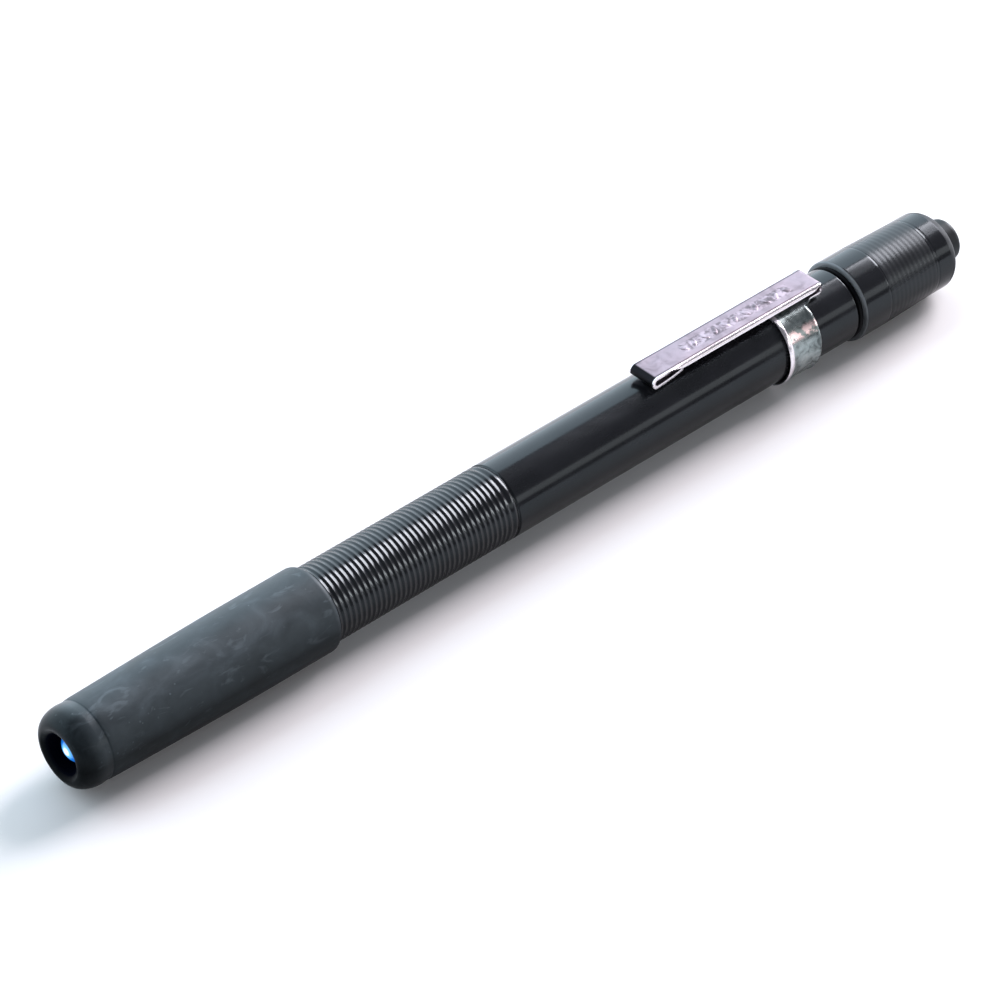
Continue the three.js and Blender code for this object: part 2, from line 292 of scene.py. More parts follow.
def ridged_band_recipe():
    """Rings or a screw thread cut round a cylinder or a slight cone, joined to their piece."""
    r = Recipe("ridged_band", {
        "Start": 0.0, "Pitch": 0.8 * MM, "Count": 10, "Rows Per Ridge": 10,
        "Start Radius": 5 * MM, "End Radius": 5 * MM, "Depth": 0.2 * MM, "Lead": 0.0,
        "Sharpness": 1.0, "Fade": 0.0, "Phase": 0.0, "Skew": 0.0,
    })
    given = r.inputs
    rows = r.add(r.mul(given["Count"], given["Rows Per Ridge"]), 1.0)
    grid = r.out("GeometryNodeMeshGrid", {
        "Size X": 1.0, "Size Y": 1.0, "Vertices X": rows, "Vertices Y": SEGMENTS + 1,
    })
    across, around, _ = r.place()
    share = r.add(across, 0.5)
    turn = r.add(around, 0.5)
    length = r.mul(given["Pitch"], given["Count"])
    along = r.mul(share, length)
    phase = r.add(r.div(along, given["Pitch"]),
                  r.add(given["Phase"], r.mul(given["Lead"], turn)))
    turned = r.mul(phase, 2 * math.pi)
    lean = r.mul(given["Skew"], r.sub(r.math("COSINE", turned), 1.0))
    wave = r.math("COSINE", r.sub(turned, lean))
    crest = r.mul(r.sub(1.0, wave), 0.5)
    ridge = r.math("POWER", r.math("MAXIMUM", crest, 0.0), given["Sharpness"])
    edge = r.math("MINIMUM", along, r.sub(length, along))
    fade = r.math("MINIMUM", r.div(r.add(edge, TINY), r.add(given["Fade"], TINY)), 1.0)
    fall = r.mul(r.mul(given["Depth"], fade), r.sub(1.0, ridge))
    widening = r.sub(given["End Radius"], given["Start Radius"])
    full = r.add(given["Start Radius"], r.mul(share, widening))
    radius = r.sub(full, fall)
    angle = r.mul(turn, 2 * math.pi)
    spot = r.vector(r.add(given["Start"], along), r.mul(radius, r.math("SINE", angle)),
                    r.add(AXIS_Z, r.mul(radius, r.math("COSINE", angle))))
    band = r.out("GeometryNodeSetPosition", {"Geometry": grid, "Position": spot})
    whole = r.out("GeometryNodeMergeByDistance", {
        "Geometry": r.join(given["Geometry"], band), "Distance": 0.0005 * MM,
    })
    return r.finish(whole)


def lozenge_row_recipe():
    """A row of small raised lozenges on the clip's arm, leaning one way and the other by turns."""
    r = Recipe("lozenge_row", {
        "Count": 9, "First": (0.0, 0.0, 0.0), "Spacing": 1.9 * MM,
        "Size": (0.3 * MM, 1.1 * MM, 0.1 * MM), "Lean": 0.4,
    })
    given = r.inputs
    points = r.out("GeometryNodeMeshLine", {
        "Count": given["Count"], "Start Location": given["First"],
        "Offset": r.vector(given["Spacing"], 0.0, 0.0),
    }, mode="OFFSET")
    lozenge = r.out("GeometryNodeMeshIcoSphere", {"Radius": 1.0, "Subdivisions": 3})
    number = r.out("GeometryNodeInputIndex")
    side = r.sub(1.0, r.mul(r.math("MODULO", number, 2.0), 2.0))
    row = r.out("GeometryNodeInstanceOnPoints", {
        "Points": points, "Instance": lozenge,
        "Rotation": r.vector(0.0, 0.0, r.mul(side, given["Lean"])),
        "Scale": given["Size"],
    })
    return r.finish(r.join(given["Geometry"], row))


def coil_recipe():
    """A coil spring along the pen's axis, with closed wire ends."""
    r = Recipe("coil_spring", {
        "Start": 0.0, "Length": 3 * MM, "Radius": 2.5 * MM, "Wire": 0.25 * MM, "Turns": 4.0,
    })
    given = r.inputs
    spiral = r.out("GeometryNodeCurveSpiral", {
        "Resolution": 40, "Rotations": given["Turns"], "Start Radius": given["Radius"],
        "End Radius": given["Radius"], "Height": r.sub(given["Length"], r.mul(given["Wire"], 2.0)),
    })
    across, up, along = r.place()
    first = r.add(given["Start"], given["Wire"])
    spot = r.vector(r.add(first, along), across, r.add(AXIS_Z, up))
    laid = r.out("GeometryNodeSetPosition", {"Geometry": spiral, "Position": spot})
    section = r.out("GeometryNodeCurvePrimitiveCircle", {
        "Resolution": 14, "Radius": given["Wire"],
    })
    wire = r.out("GeometryNodeCurveToMesh", {
        "Curve": laid, "Profile Curve": section, "Fill Caps": True,
    })
    return r.finish(wire)


# ---- finishes


class Finish(NodeWriter):
    """A node material that is being written; patterns read the piece's own Object coordinates."""

    def __init__(self, name, colour, roughness, metallic=0.0, **constants):
        self.material = bpy.data.materials.new(name)
        self.material.use_nodes = True
        self.tree = self.material.node_tree
        self.surface = next(n for n in self.tree.nodes if n.type == "BSDF_PRINCIPLED")
        self.place = self.tree.nodes.new("ShaderNodeTexCoord").outputs["Object"]
        self.x, self.y, self.z = self.axes(self.place)
        self.set("Base Color", (*colour, 1.0))
        self.set("Roughness", roughness)
        self.set("Metallic", metallic)
        for label, value in constants.items():
            self.set(label.replace("_", " ").title().replace("Ior", "IOR"), value)

    def set(self, label, value):
        self.feed(self.surface.inputs[label], value)

    def look(self, colour=None, roughness=None, specular=None):
        for label, value in (("Base Color", colour), ("Roughness", roughness),
                             ("Specular IOR Level", specular)):
            if value is not None:
                self.set(label, value)

    def noise(self, scale, detail=3.0, stretch=(1, 1, 1), shift=(0, 0, 0), distortion=0.0):
        moved = {"Vector": self.place, "Scale": stretch, "Location": shift}
        return self.out("ShaderNodeTexNoise", {
            "Vector": self.out("ShaderNodeMapping", moved),
            "Scale": scale, "Detail": detail, "Distortion": distortion,
        })

    def radius(self):
        """Distance from the pen's axis."""
        height = self.sub(self.z, AXIS_Z)
        return self.math("SQRT", self.add(self.mul(self.y, self.y), self.mul(height, height)))

    def painted_shade_below(self, radius, low):
        """Painted shade: 1 on the upper side of a round piece, falling to low on its underside."""
        level = self.div(self.sub(self.z, AXIS_Z - radius), 2 * radius)
        return self.ramp(level, [(0.5, low), (0.82, 1.0)])

    def window(self, value, start, end, blur):
        """1 where the value lies between start and end, 0 outside, with soft ends."""
        return self.ramp(value, [
            (start, 0.0), (start + blur, 1.0), (end - blur, 1.0), (end, 0.0),
        ])

    def ramp(self, value, stops):
        """Colours or greys by value; a stop is (place, colour or grey)."""
        node = self.node("ShaderNodeValToRGB", {"Fac": value})
        marks = node.color_ramp.elements
        while len(marks) < len(stops):
            marks.new(0.5)
        for mark, (place, colour) in zip(marks, stops):
            mark.position = place
            grey = (colour, colour, colour) if isinstance(colour, (int, float)) else colour
            mark.color = (*grey, 1.0)
        return node.outputs["Color"]

    def mix(self, factor, a, b, blend="MIX"):
        node = self.node("ShaderNodeMix", data_type="RGBA", blend_type=blend)
        for number, value in ((0, factor), (6, a), (7, b)):
            colour = isinstance(value, (tuple, list))
            self.feed(node.inputs[number], (*value, 1.0) if colour else value)
        return node.outputs[2]

    def dim(self, colour, level):
        """The colour multiplied by a level or by another colour."""
        return self.mix(1.0, colour, level, blend="MULTIPLY")

    def relief(self, height, depth, strength=1.0, over=None):
        """Adds a bump; over is the bump that it lies on."""
        inputs = {"Height": height, "Distance": depth, "Strength": strength}
        if over is not None:
            inputs["Normal"] = over
        normal = self.out("ShaderNodeBump", inputs)
        self.set("Normal", normal)
        return normal


def times(colour, factor, lift=0.0):
    return [min(1.0, c * factor + lift) for c in colour]


def boot_rubber(colour, window):
    """Moulded rubber with chalky patches, scuffs and specks. Painted shade makes it darker and
    less reflective at its nose and on its underside, and paints it black round the lamp, where the
    hole lies in shade. It is duller at its rear lip."""
    f = Finish("boot_rubber", colour, 0.5, specular_tint=COLD_SHEEN)
    patches = f.noise(260, 4, stretch=(0.7, 1, 1), distortion=0.6)
    base = f.ramp(patches, [
        (0.32, times(colour, 0.6)), (0.55, colour), (0.78, times(colour, 1.8, 0.004)),
    ])
    dots = f.out("ShaderNodeTexVoronoi", {"Vector": f.place, "Scale": 900})
    specks = f.ramp(dots, [(0.0, 1.0), (0.09, 1.0), (0.14, 0.0)])
    where = f.ramp(f.noise(120, 2, shift=(3, 1, 2)), [(0.5, 0.0), (0.62, 0.5)])
    speckled = f.mix(f.mul(specks, where), base, times(colour, 2.4, 0.02))
    scuffs = f.ramp(f.noise(520, 5, stretch=(0.5, 1, 1.2), shift=(1, 5, 0), distortion=1.2),
                    [(0.58, 0.0), (0.7, 0.6)])
    worn = f.mix(scuffs, speckled, times(colour, 2.2, 0.016))
    # painted shade: the window's rim and the hole's walls are painted near black and lose their
    # reflection
    rim = window / 10
    painted_mouth_shade = f.ramp(f.div(f.radius(), 10 * MM), [(rim + 0.02, 1.0), (rim + 0.07, 0.0)])
    # painted shade: darker and less reflective towards the nose and on the underside
    behind = f.div(f.sub(f.x, BOOT[0].x), 10 * MM)
    shade = f.mul(f.ramp(behind, [(0.0, 0.3), (0.16, 0.45), (0.3, 1.0)]),
                  f.painted_shade_below(5.9 * MM, 0.27))
    lip = f.ramp(f.div(f.sub(BOOT[1].x, f.x), MM), [(0.1, 0.2), (0.9, 1.0)])
    shine = f.ramp(behind, [(0.4, 0.34), (0.44, 0.5)])
    f.look(
        f.mix(painted_mouth_shade, f.dim(worn, shade), (0.002, 0.0025, 0.005)),
        f.add(shine, f.mul(f.sub(patches, 0.5), 0.3)),
        f.mul(f.mul(f.mul(shade, lip), f.sub(1.0, painted_mouth_shade)), 0.38),
    )
    coarse = f.relief(f.noise(330, 3, distortion=0.4), 0.05 * MM, 0.5)
    f.relief(f.noise(5200, 3), 0.006 * MM, 0.6, over=coarse)
    return f.material


def black_anodised(name, colour, roughness, zones=(), highlight_edge=None):
    """Glossy black anodising over turned aluminium, with turning marks and handling haze, and
    painted shade that darkens its underside and dims its reflection there.
    A zone is (place, factor): from there towards the tail the roughness is multiplied.
    Ahead of the given edge place the finish is painted pale as a highlight on the edge, brighter
    on its upper side."""
    f = Finish(name, colour, roughness, specular_tint=COLD_SHEEN)
    haze = f.noise(150, 4, stretch=(0.3, 1, 1), distortion=0.5)
    rough = f.ramp(haze, [(0.35, roughness * 0.75), (0.72, roughness * 1.5)])
    if zones:
        highest = 5.0
        first, reach = zones[0][0], zones[-1][0] - zones[0][0]
        stops = [((x - first) / reach, factor / highest) for x, factor in zones]
        factors = f.ramp(f.div(f.sub(f.x, first), reach), stops)
        rough = f.mul(rough, f.mul(factors, highest))
    # painted light: the upper side is lighter and more reflective, the underside is in painted
    # shade
    lit = f.painted_shade_below(5.3 * MM, 0.42)
    worn = f.ramp(f.noise(420, 5, stretch=(0.4, 1, 1)),
                  [(0.3, times(colour, 0.8)), (0.75, times(colour, 1.5))])
    base = f.dim(worn, lit)
    # painted highlight: a pale band ahead of the edge place, brighter on the upper side
    if highlight_edge is not None:
        behind = f.div(f.sub(f.x, highlight_edge), MM)
        edge_highlight_mask = f.ramp(f.add(behind, 0.5), [(0.4, 1.0), (0.55, 0.0)])
        base = f.mix(f.mul(edge_highlight_mask, lit), base, (0.2, 0.215, 0.225))
    f.look(base, rough, f.mul(lit, 0.38))
    turning = f.relief(f.noise(2500, 2, stretch=(1, 0.02, 0.02)), 0.0005 * MM, 0.4)
    f.relief(f.noise(190, 3), 0.005 * MM, 0.2, over=turning)
    return f.material


def plated_steel(colour, roughness, arm, band):
    """Satin plated steel for the clip: a painted highlight along the arm's side edges with a
    painted dark reflection line inside them, a painted dark reflection in the folded tip, mottling
    round the lozenges, and a greener, stained band with a warm patch and painted highlights at its
    front and rear edges."""
    f = Finish("plated_steel", colour, roughness, metallic=1.0)
    highlight_colour = (0.82, 0.78, 0.82)
    stain = f.noise(520, 5, shift=(2, 0, 1), distortion=0.5)
    plate = f.ramp(stain, [(0.32, times(colour, 0.72)), (0.5, colour), (0.75, times(colour, 1.2))])
    # painted reflection: a dark line just inside the arm's side edges
    side = f.div(f.math("ABSOLUTE", f.y), 2.5 * MM)
    line = f.ramp(side, [(0.68, 1.0), (0.73, 0.35), (0.77, 0.35), (0.8, 1.0)])
    plate = f.dim(plate, line)
    # painted highlight: the arm's side edges are painted bright
    rim = f.ramp(side, [(0.79, 0.0), (0.83, 1.0)])
    along = f.div(f.sub(f.x, arm[0].x), arm[1].x - arm[0].x)
    pressed = f.mul(f.ramp(side, [(0.34, 1.0), (0.42, 0.0)]), f.window(along, 0.22, 0.86, 0.02))
    mottle = f.ramp(f.noise(1250, 2, shift=(0, 3, 1), distortion=0.4),
                    [(0.4, 0.55), (0.5, 1.0), (0.62, 1.35)])
    plate = f.mix(pressed, plate, f.dim(plate, mottle))
    plate = f.mix(rim, plate, highlight_colour)
    # painted dark reflection: the folded tip is painted near black
    behind_tip = f.div(f.sub(f.x, arm[0].x), 4 * MM)
    fold_dark_reflection = f.mul(f.ramp(behind_tip, [(0.15, 1.0), (0.2, 0.0)]), f.sub(1.0, rim))
    plate = f.mix(fold_dark_reflection, plate, (0.012, 0.012, 0.014))

    middle, reach = (band[0].x + band[1].x) / 2, (band[1].x - band[0].x) / 2
    off = f.div(f.math("ABSOLUTE", f.sub(f.x, middle)), reach * 1.25)
    height = f.div(f.sub(f.z, AXIS_Z), 10 * MM)
    body = f.ramp(f.noise(700, 5, distortion=0.8), [
        (0.3, (0.06, 0.07, 0.07)), (0.5, (0.24, 0.28, 0.28)), (0.8, (0.36, 0.4, 0.4)),
    ])
    warm = f.mul(f.window(height, 0.26, 0.42, 0.04),
                 f.ramp(f.noise(850, 3, shift=(4, 4, 0)), [(0.42, 0.0), (0.52, 1.0)]))
    body = f.mix(warm, body, (0.75, 0.58, 0.58))
    # painted highlight: the band's front and rear edges are painted bright
    body = f.mix(f.ramp(off, [(0.66, 0.0), (0.7, 1.0)]), body, highlight_colour)
    on_band = f.ramp(height, [(0.56, 1.0), (0.58, 0.0)])
    satin = f.ramp(f.noise(700, 4, stretch=(0.3, 1, 1)),
                   [(0.3, roughness * 0.85), (0.75, roughness * 1.25)])
    f.look(f.mix(on_band, plate, body), f.add(satin, f.mul(rim, -0.16)))
    wave = f.relief(f.noise(480, 3, distortion=0.6), 0.02 * MM, 0.3)
    f.relief(f.noise(5000, 3, stretch=(0.15, 1, 1)), 0.003 * MM, 0.5, over=wave)
    return f.material


def mottled(name, tones, shines, patterns, grain, **constants):
    """A finish whose colour and roughness each follow a noise, under a fine relief. The patterns
    are those two noises, as Finish.noise takes them, and grain is (noise, depth in millimetres,
    strength)."""
    f = Finish(name, tones[-1][1], shines[0][1], **constants)
    colours, roughs = (f.noise(*pattern) for pattern in patterns)
    f.look(f.ramp(colours, tones), f.ramp(roughs, shines))
    f.relief(f.noise(*grain[0]), grain[1] * MM, grain[2])
    return f.material


def seal_rubber():
    """Dark O-ring rubber with a dusty bloom; its black is partly its own and partly painted shade,
    deepened and made nearly unreflective so that the gaps round the rings read black.
    """
    bloom = (900, 4)
    return mottled(
        "seal_rubber", [(0.35, (0.002, 0.002, 0.003)), (0.8, (0.006, 0.006, 0.007))],
        [(0.3, 0.38), (0.8, 0.6)], (bloom, bloom), ((6000, 2), 0.004, 0.5),
        specular_ior_level=0.06)


def button_rubber():
    """Matte moulded rubber with a fine even grain."""
    return mottled(
        "button_rubber", [(0.3, (0.004, 0.004, 0.005)), (0.75, (0.011, 0.011, 0.012))],
        [(0.3, 0.36), (0.75, 0.55)],
        ((500, 4), (800,)), ((5200,), 0.008, 0.6),
        specular_ior_level=0.22, specular_tint=(0.8, 0.95, 1.0, 1.0))


def lamp_glow(core, glow):
    """A lit ultraviolet lamp: white at its middle, then blue, then dark clear plastic."""
    f = Finish("lamp_lens", (0.004, 0.006, 0.016), 0.12, specular_ior_level=0.5)
    bulb = 2.5
    ripple = f.mul(f.sub(f.noise(900, 2), 0.5), 0.05)
    share = f.add(f.div(f.radius(), bulb * MM), ripple)
    c, g = core / bulb, glow / bulb
    f.set("Emission Color", f.ramp(share, [
        (0.0, (1.0, 1.0, 1.0)),
        (c, (0.85, 0.97, 1.0)),
        (c + 0.08, (0.16, 0.55, 0.95)),
        (c + (g - c) * 0.45, (0.01, 0.16, 0.62)),
        (g, (0.0, 0.03, 0.16)),
        (min(1.0, g + 0.16), (0.0, 0.0, 0.005)),
    ]))
    f.set("Emission Strength", 1.3)
    f.relief(f.noise(2200, 2), 0.004 * MM, 0.3)
    return f.material


def brass():
    """Lightly tarnished turned brass."""
    tarnish = (600, 5, (1, 1, 1), (0, 0, 0), 0.7)
    return mottled(
        "contact_brass",
        [(0.3, (0.30, 0.19, 0.07)), (0.55, (0.55, 0.38, 0.13)), (0.85, (0.72, 0.53, 0.22))],
        [(0.3, 0.5), (0.8, 0.22)], (tarnish, tarnish), ((3500, 2, (1, 0.05, 0.05)), 0.002, 0.5),
        metallic=1.0)


def bright_steel(name):
    """Drawn steel with faint marks along it."""
    drawn = (1500, 4, (1, 0.3, 0.3))
    return mottled(
        name, [(0.3, (0.34, 0.34, 0.36)), (0.75, (0.6, 0.6, 0.62))],
        [(0.3, 0.42), (0.8, 0.22)], (drawn, drawn), ((6000, 2), 0.002, 0.5),
        metallic=1.0)


def circuit_board():
    """Green lacquered board with paler copper runs under the lacquer."""
    green = (0.01, 0.10, 0.035)
    f = Finish("circuit_board", green, 0.3)
    turned = f.node("ShaderNodeMapping", {"Vector": f.place, "Rotation": (0.0, math.pi / 2, 0.0)})
    runs = f.node("ShaderNodeTexBrick", {
        "Vector": turned.outputs[0], "Color1": (0.02, 0.17, 0.06, 1), "Color2": (*green, 1),
        "Mortar": (0.03, 0.24, 0.09, 1), "Scale": 900.0, "Mortar Size": 0.012,
    })
    f.look(runs.outputs["Color"], f.ramp(f.noise(900, 3), [(0.3, 0.22), (0.8, 0.42)]))
    f.relief(runs.outputs["Fac"], 0.02 * MM, 0.5)
    return f.material


def resistor_body():
    """Dark lacquered ceramic."""
    return mottled(
        "resistor_body", [(0.3, (0.006, 0.006, 0.007)), (0.8, (0.03, 0.03, 0.03))],
        [(0.3, 0.35), (0.8, 0.6)],
        ((1500,), (700, 2)), ((5000, 2), 0.006, 0.6))


def insulator():
    """Pale moulded plastic."""
    return mottled(
        "insulator", [(0.3, (0.52, 0.47, 0.36)), (0.8, (0.68, 0.63, 0.52))],
        [(0.3, 0.4), (0.8, 0.62)],
        ((420, 4), (600,)), ((4200,), 0.006, 0.5))


def cell_wrapper(front, rear):
    """A shrink sleeve: bare metal at both ends, a copper-coloured shoulder and a dark body."""
    f = Finish("cell_wrapper", (0.05, 0.06, 0.05), 0.28)
    metal, copper, dark = (0.5, 0.5, 0.5), (0.42, 0.17, 0.05), (0.02, 0.022, 0.022)
    share = f.div(f.sub(f.x, front), rear - front)
    f.look(f.ramp(share, [
        (0.0, metal), (0.03, metal), (0.035, copper), (0.28, copper), (0.285, dark),
        (0.97, dark), (0.975, metal),
    ]), f.ramp(f.noise(500, 4), [(0.3, 0.2), (0.8, 0.4)]))
    f.relief(f.noise(700, 3, stretch=(0.3, 1, 1)), 0.02 * MM, 0.4)
    return f.material


def studio_paper(tone):
    """Matte paper for the floor."""
    f = Finish("studio_paper", (tone, tone, tone), 0.85, specular_ior_level=0.15)
    f.look(f.ramp(f.noise(3.0, 2), [(0.3, tone * 0.985), (0.7, tone)]))
    f.relief(f.noise(900, 3), 0.01 * MM, 0.3)
    return f.material


# ---- settings


def setting(kind, name, description, default, **limits):
    return kind(name=name, description=description, default=default, **limits)


def length(*words):
    return setting(FloatProperty, *words, unit="LENGTH", subtype="DISTANCE", precision=5)


def colour(*words):
    return setting(FloatVectorProperty, *words, subtype="COLOR", size=3, min=0.0, max=1.0)


def factor(*words):
    return setting(FloatProperty, *words, subtype="FACTOR", min=0.0, max=1.0)


def angle(*words):
    return setting(FloatProperty, *words, unit="ROTATION", subtype="ANGLE")


class PenlightBootSettings(bpy.types.PropertyGroup):
    tint: colour("Rubber colour", "Colour of the boot's rubber", (0.036, 0.046, 0.053))
    groove_depth: length("Groove depth", "Depth of the line behind the boot's shoulder", 0.1 * MM)
    window: length("Window radius", "Radius of the hole that the lamp shines through", 2.65 * MM)
    rounding: length("Rear rounding", "Rounding of the boot's rear lip", 0.9 * MM)


class PenlightLampSettings(bpy.types.PropertyGroup):
    core: length("Bright core", "Radius of the white middle of the lit lamp", 0.4 * MM)
    glow: length("Glow", "Radius at which the lamp's blue light has faded", 2.0 * MM)


class PenlightBarrelSettings(bpy.types.PropertyGroup):
    tint: colour("Anodised colour", "Colour of the anodised tube", (0.010, 0.010, 0.012))
    gloss: factor("Roughness", "Roughness of the anodised finish", 0.17)
    ridge_pitch: length("Ridge pitch", "Distance between the grip's ridges", 0.8165 * MM)
    ridge_depth: length("Ridge depth", "Depth of the grooves between the ridges", 0.14 * MM)
    ridge_count: setting(IntProperty, "Ridges", "Number of ridges on the grip", 35, min=1, max=80)
    thread_pitch: length("Thread pitch", "Pitch of the tail's screw thread", 0.75 * MM)


class PenlightClipSettings(bpy.types.PropertyGroup):
    tint: colour("Plating colour", "Colour of the clip's plating", (0.27, 0.225, 0.26))
    gloss: factor("Roughness", "Roughness of the clip's plating", 0.4)
    sheet: length("Sheet", "Thickness of the clip's sheet", 0.43 * MM)
    rim: length("Rolled rim", "How far the arm's side edges roll down", 0.42 * MM)
    lozenges: setting(IntProperty, "Lozenges", "Number of raised lozenges on the arm", 11,
                      min=0, max=20)


class PenlightCapSettings(bpy.types.PropertyGroup):
    ridge_count: setting(IntProperty, "Ridges", "Number of ridges on the cap", 11, min=1, max=40)
    ridge_depth: length("Ridge depth", "Depth of the cap's grooves", 0.011 * MM)
    edge: length("Rear rounding", "Rounding of the cap's rear edge", 1.55 * MM)


class PenlightStageSettings(bpy.types.PropertyGroup):
    azimuth: angle("View azimuth", "Camera's direction round the pen", math.radians(-42.6))
    elevation: angle("View elevation", "Camera's height above the horizon", math.radians(39.47))
    distance: length("View distance", "Distance from the camera to its aim", 0.537)
    focal: setting(FloatProperty, "Focal length", "Camera's focal length in millimetres", 151.2,
                   min=10.0, max=400.0)
    paper: factor("Floor tone", "Lightness of the studio floor", 0.86)


# ---- pieces


class PENLIGHT_OT_boot(bpy.types.Operator):
    """Builds the moulded nose boot"""

    bl_idname = "penlight.boot"
    bl_label = "Nose boot"

    def execute(self, context):
        choice = context.scene.penlight_boot
        front, rear = BOOT[0].x / MM, BOOT[1].x / MM
        full = AXIS_Z / MM
        window = choice.window / MM
        groove = choice.groove_depth / MM
        lip = choice.rounding / MM
        bore = 4.95
        wall = front + 3.45
        shoulder, ring = 5.44, window + 0.95
        profile = rounded([
            (front + 0.75, window), (front + 0.48, window, 0.15),
            (front + 0.01, ring - 0.06, 0.12),
            *arc(front + 2.9, ring, -2.9, shoulder - ring, 4, 90, 18),
            (front + 3.1, shoulder, 0.3), (front + 4.15, shoulder - groove, 0.15),
            (front + 4.3, shoulder - 0.02, 0.08), (front + 4.8, 5.47, 0.2),
            (front + 13.05, 5.65, 3.0), (front + 19.85, 5.8, 3.0),
            (front + 26.75, full - 0.02, 3.0), *arc(rear - lip, full - lip, lip, lip, 90, 8, 8),
            (rear, bore + 0.3), (rear, bore, 0.1), (wall, bore, 0.1), (wall, window, 0.1),
            (front + 0.75, window),
        ])
        finish = boot_rubber(tuple(choice.tint), window)
        piece = turned_piece("boot_sleeve", [(profile[:-1], True)], finish)
        settle(piece, "barrel", "boot_rubber", "nose_boot")
        return {"FINISHED"}


class PENLIGHT_OT_lamp(bpy.types.Operator):
    """Builds the lit ultraviolet lamp"""

    bl_idname = "penlight.lamp"
    bl_label = "Lamp"

    def execute(self, context):
        choice = context.scene.penlight_lamp
        tip, back = LAMP[0].x / MM, LAMP[1].x / MM
        bulb, flange = 2.5, 2.9
        dome = arc(tip + bulb, 0, -bulb, bulb, 0, 90, 18)
        dome[0] = (tip, 0.0)
        profile = rounded([
            *dome, (back - 1.0, bulb, 0.05), (back - 1.0, flange, 0.08), (back, flange, 0.08),
            (back, 0.0),
        ])
        finish = lamp_glow(choice.core / MM, choice.glow / MM)
        piece = turned_piece("lamp_dome", [(profile, False)], finish, 64)
        settle(piece, "barrel", "lamp_lens", "uv_led")
        return {"FINISHED"}


class PENLIGHT_OT_barrel(bpy.types.Operator):
    """Turns the barrel, with its ridged grip and its screw thread"""

    bl_idname = "penlight.barrel"
    bl_label = "Barrel"

    def execute(self, context):
        choice = context.scene.penlight_barrel
        front, rear = TUBE[0].x / MM, TUBE[1].x / MM
        outer, neck, bore = 5.3, 4.85, 4.35
        depth = choice.ridge_depth / MM
        grip_front = BOOT[1].x / MM + 0.07
        grip_rear = grip_front + choice.ridge_count * choice.ridge_pitch / MM
        shoulder = rear - 7.05
        thread_turns = 7
        thread_front = shoulder + 1.15
        thread_rear = thread_front + thread_turns * choice.thread_pitch / MM
        last_ridge, stop = grip_rear + 0.42, grip_rear + 1.48
        stop_groove = outer - depth * 1.3
        body = rounded([
            (grip_rear, outer), (last_ridge, outer - depth, 0.15),
            (last_ridge + 0.4, outer, 0.15), (last_ridge + 0.6, outer, 0.1),
            (stop, stop_groove, 0.1), (stop + 0.14, stop_groove, 0.06),
            (stop + 0.24, outer, 0.04), (shoulder - 0.3, outer, 0.1),
            (shoulder, outer - 0.3, 0.1), (shoulder, neck, 0.08), (thread_front, neck),
        ])
        inside = rounded([
            (thread_rear, neck), (rear - 0.3, neck, 0.06), (rear, neck - 0.3, 0.06),
            (rear, bore, 0.06), (front, bore, 0.06), (front, neck, 0.1),
            (grip_front, neck, 0.06), (grip_front, outer),
        ])
        finish = black_anodised("black_anodised", tuple(choice.tint), choice.gloss)
        piece = turned_piece("barrel_body", [(body, False), (inside, False)], finish)
        band = ridged_band_recipe()
        apply_recipe(piece, band, {
            "Start": grip_front * MM, "Pitch": choice.ridge_pitch, "Count": choice.ridge_count,
            "Rows Per Ridge": 12, "Start Radius": outer * MM, "End Radius": outer * MM,
            "Depth": choice.ridge_depth, "Sharpness": 0.9, "Phase": 0.5, "Skew": 0.45,
            "Material": finish,
        })
        apply_recipe(piece, band, {
            "Start": thread_front * MM, "Pitch": choice.thread_pitch, "Count": thread_turns,
            "Rows Per Ridge": 8, "Start Radius": neck * MM, "End Radius": neck * MM,
            "Depth": 0.3 * MM, "Lead": 1.0, "Sharpness": 1.3, "Fade": choice.thread_pitch * 0.8,
            "Material": finish,
        })
        bake(piece)
        soften(piece, RIDGED_ANGLE)
        settle(piece, "barrel", "black_anodised", "barrel_tube")
        return {"FINISHED"}


# The clip's sizes in millimetres. Heights are above the pen's axis, places along it.
RING_R, RING_WIDTH, RING_SLIT = 5.575, 5.7, 0.8
TONGUE_Z, ARM_Z, CLIP_HALF = 5.675, 7.02, 2.25
FILLET, FOLD_X = 1.3, 49.75
TIP_X, TIP_R, FLAP = 19.65, 0.675, 4.8


def half_turn(x, z, radius, start):
    """Places on a bend of the strip, each (x, height, normal); the start is in degrees."""
    for k in range(13):
        angle = math.radians(start + 180 * k / 12)
        across, up = math.cos(angle), math.sin(angle)
        yield x + radius * across, z + radius * up, (-across, -up)


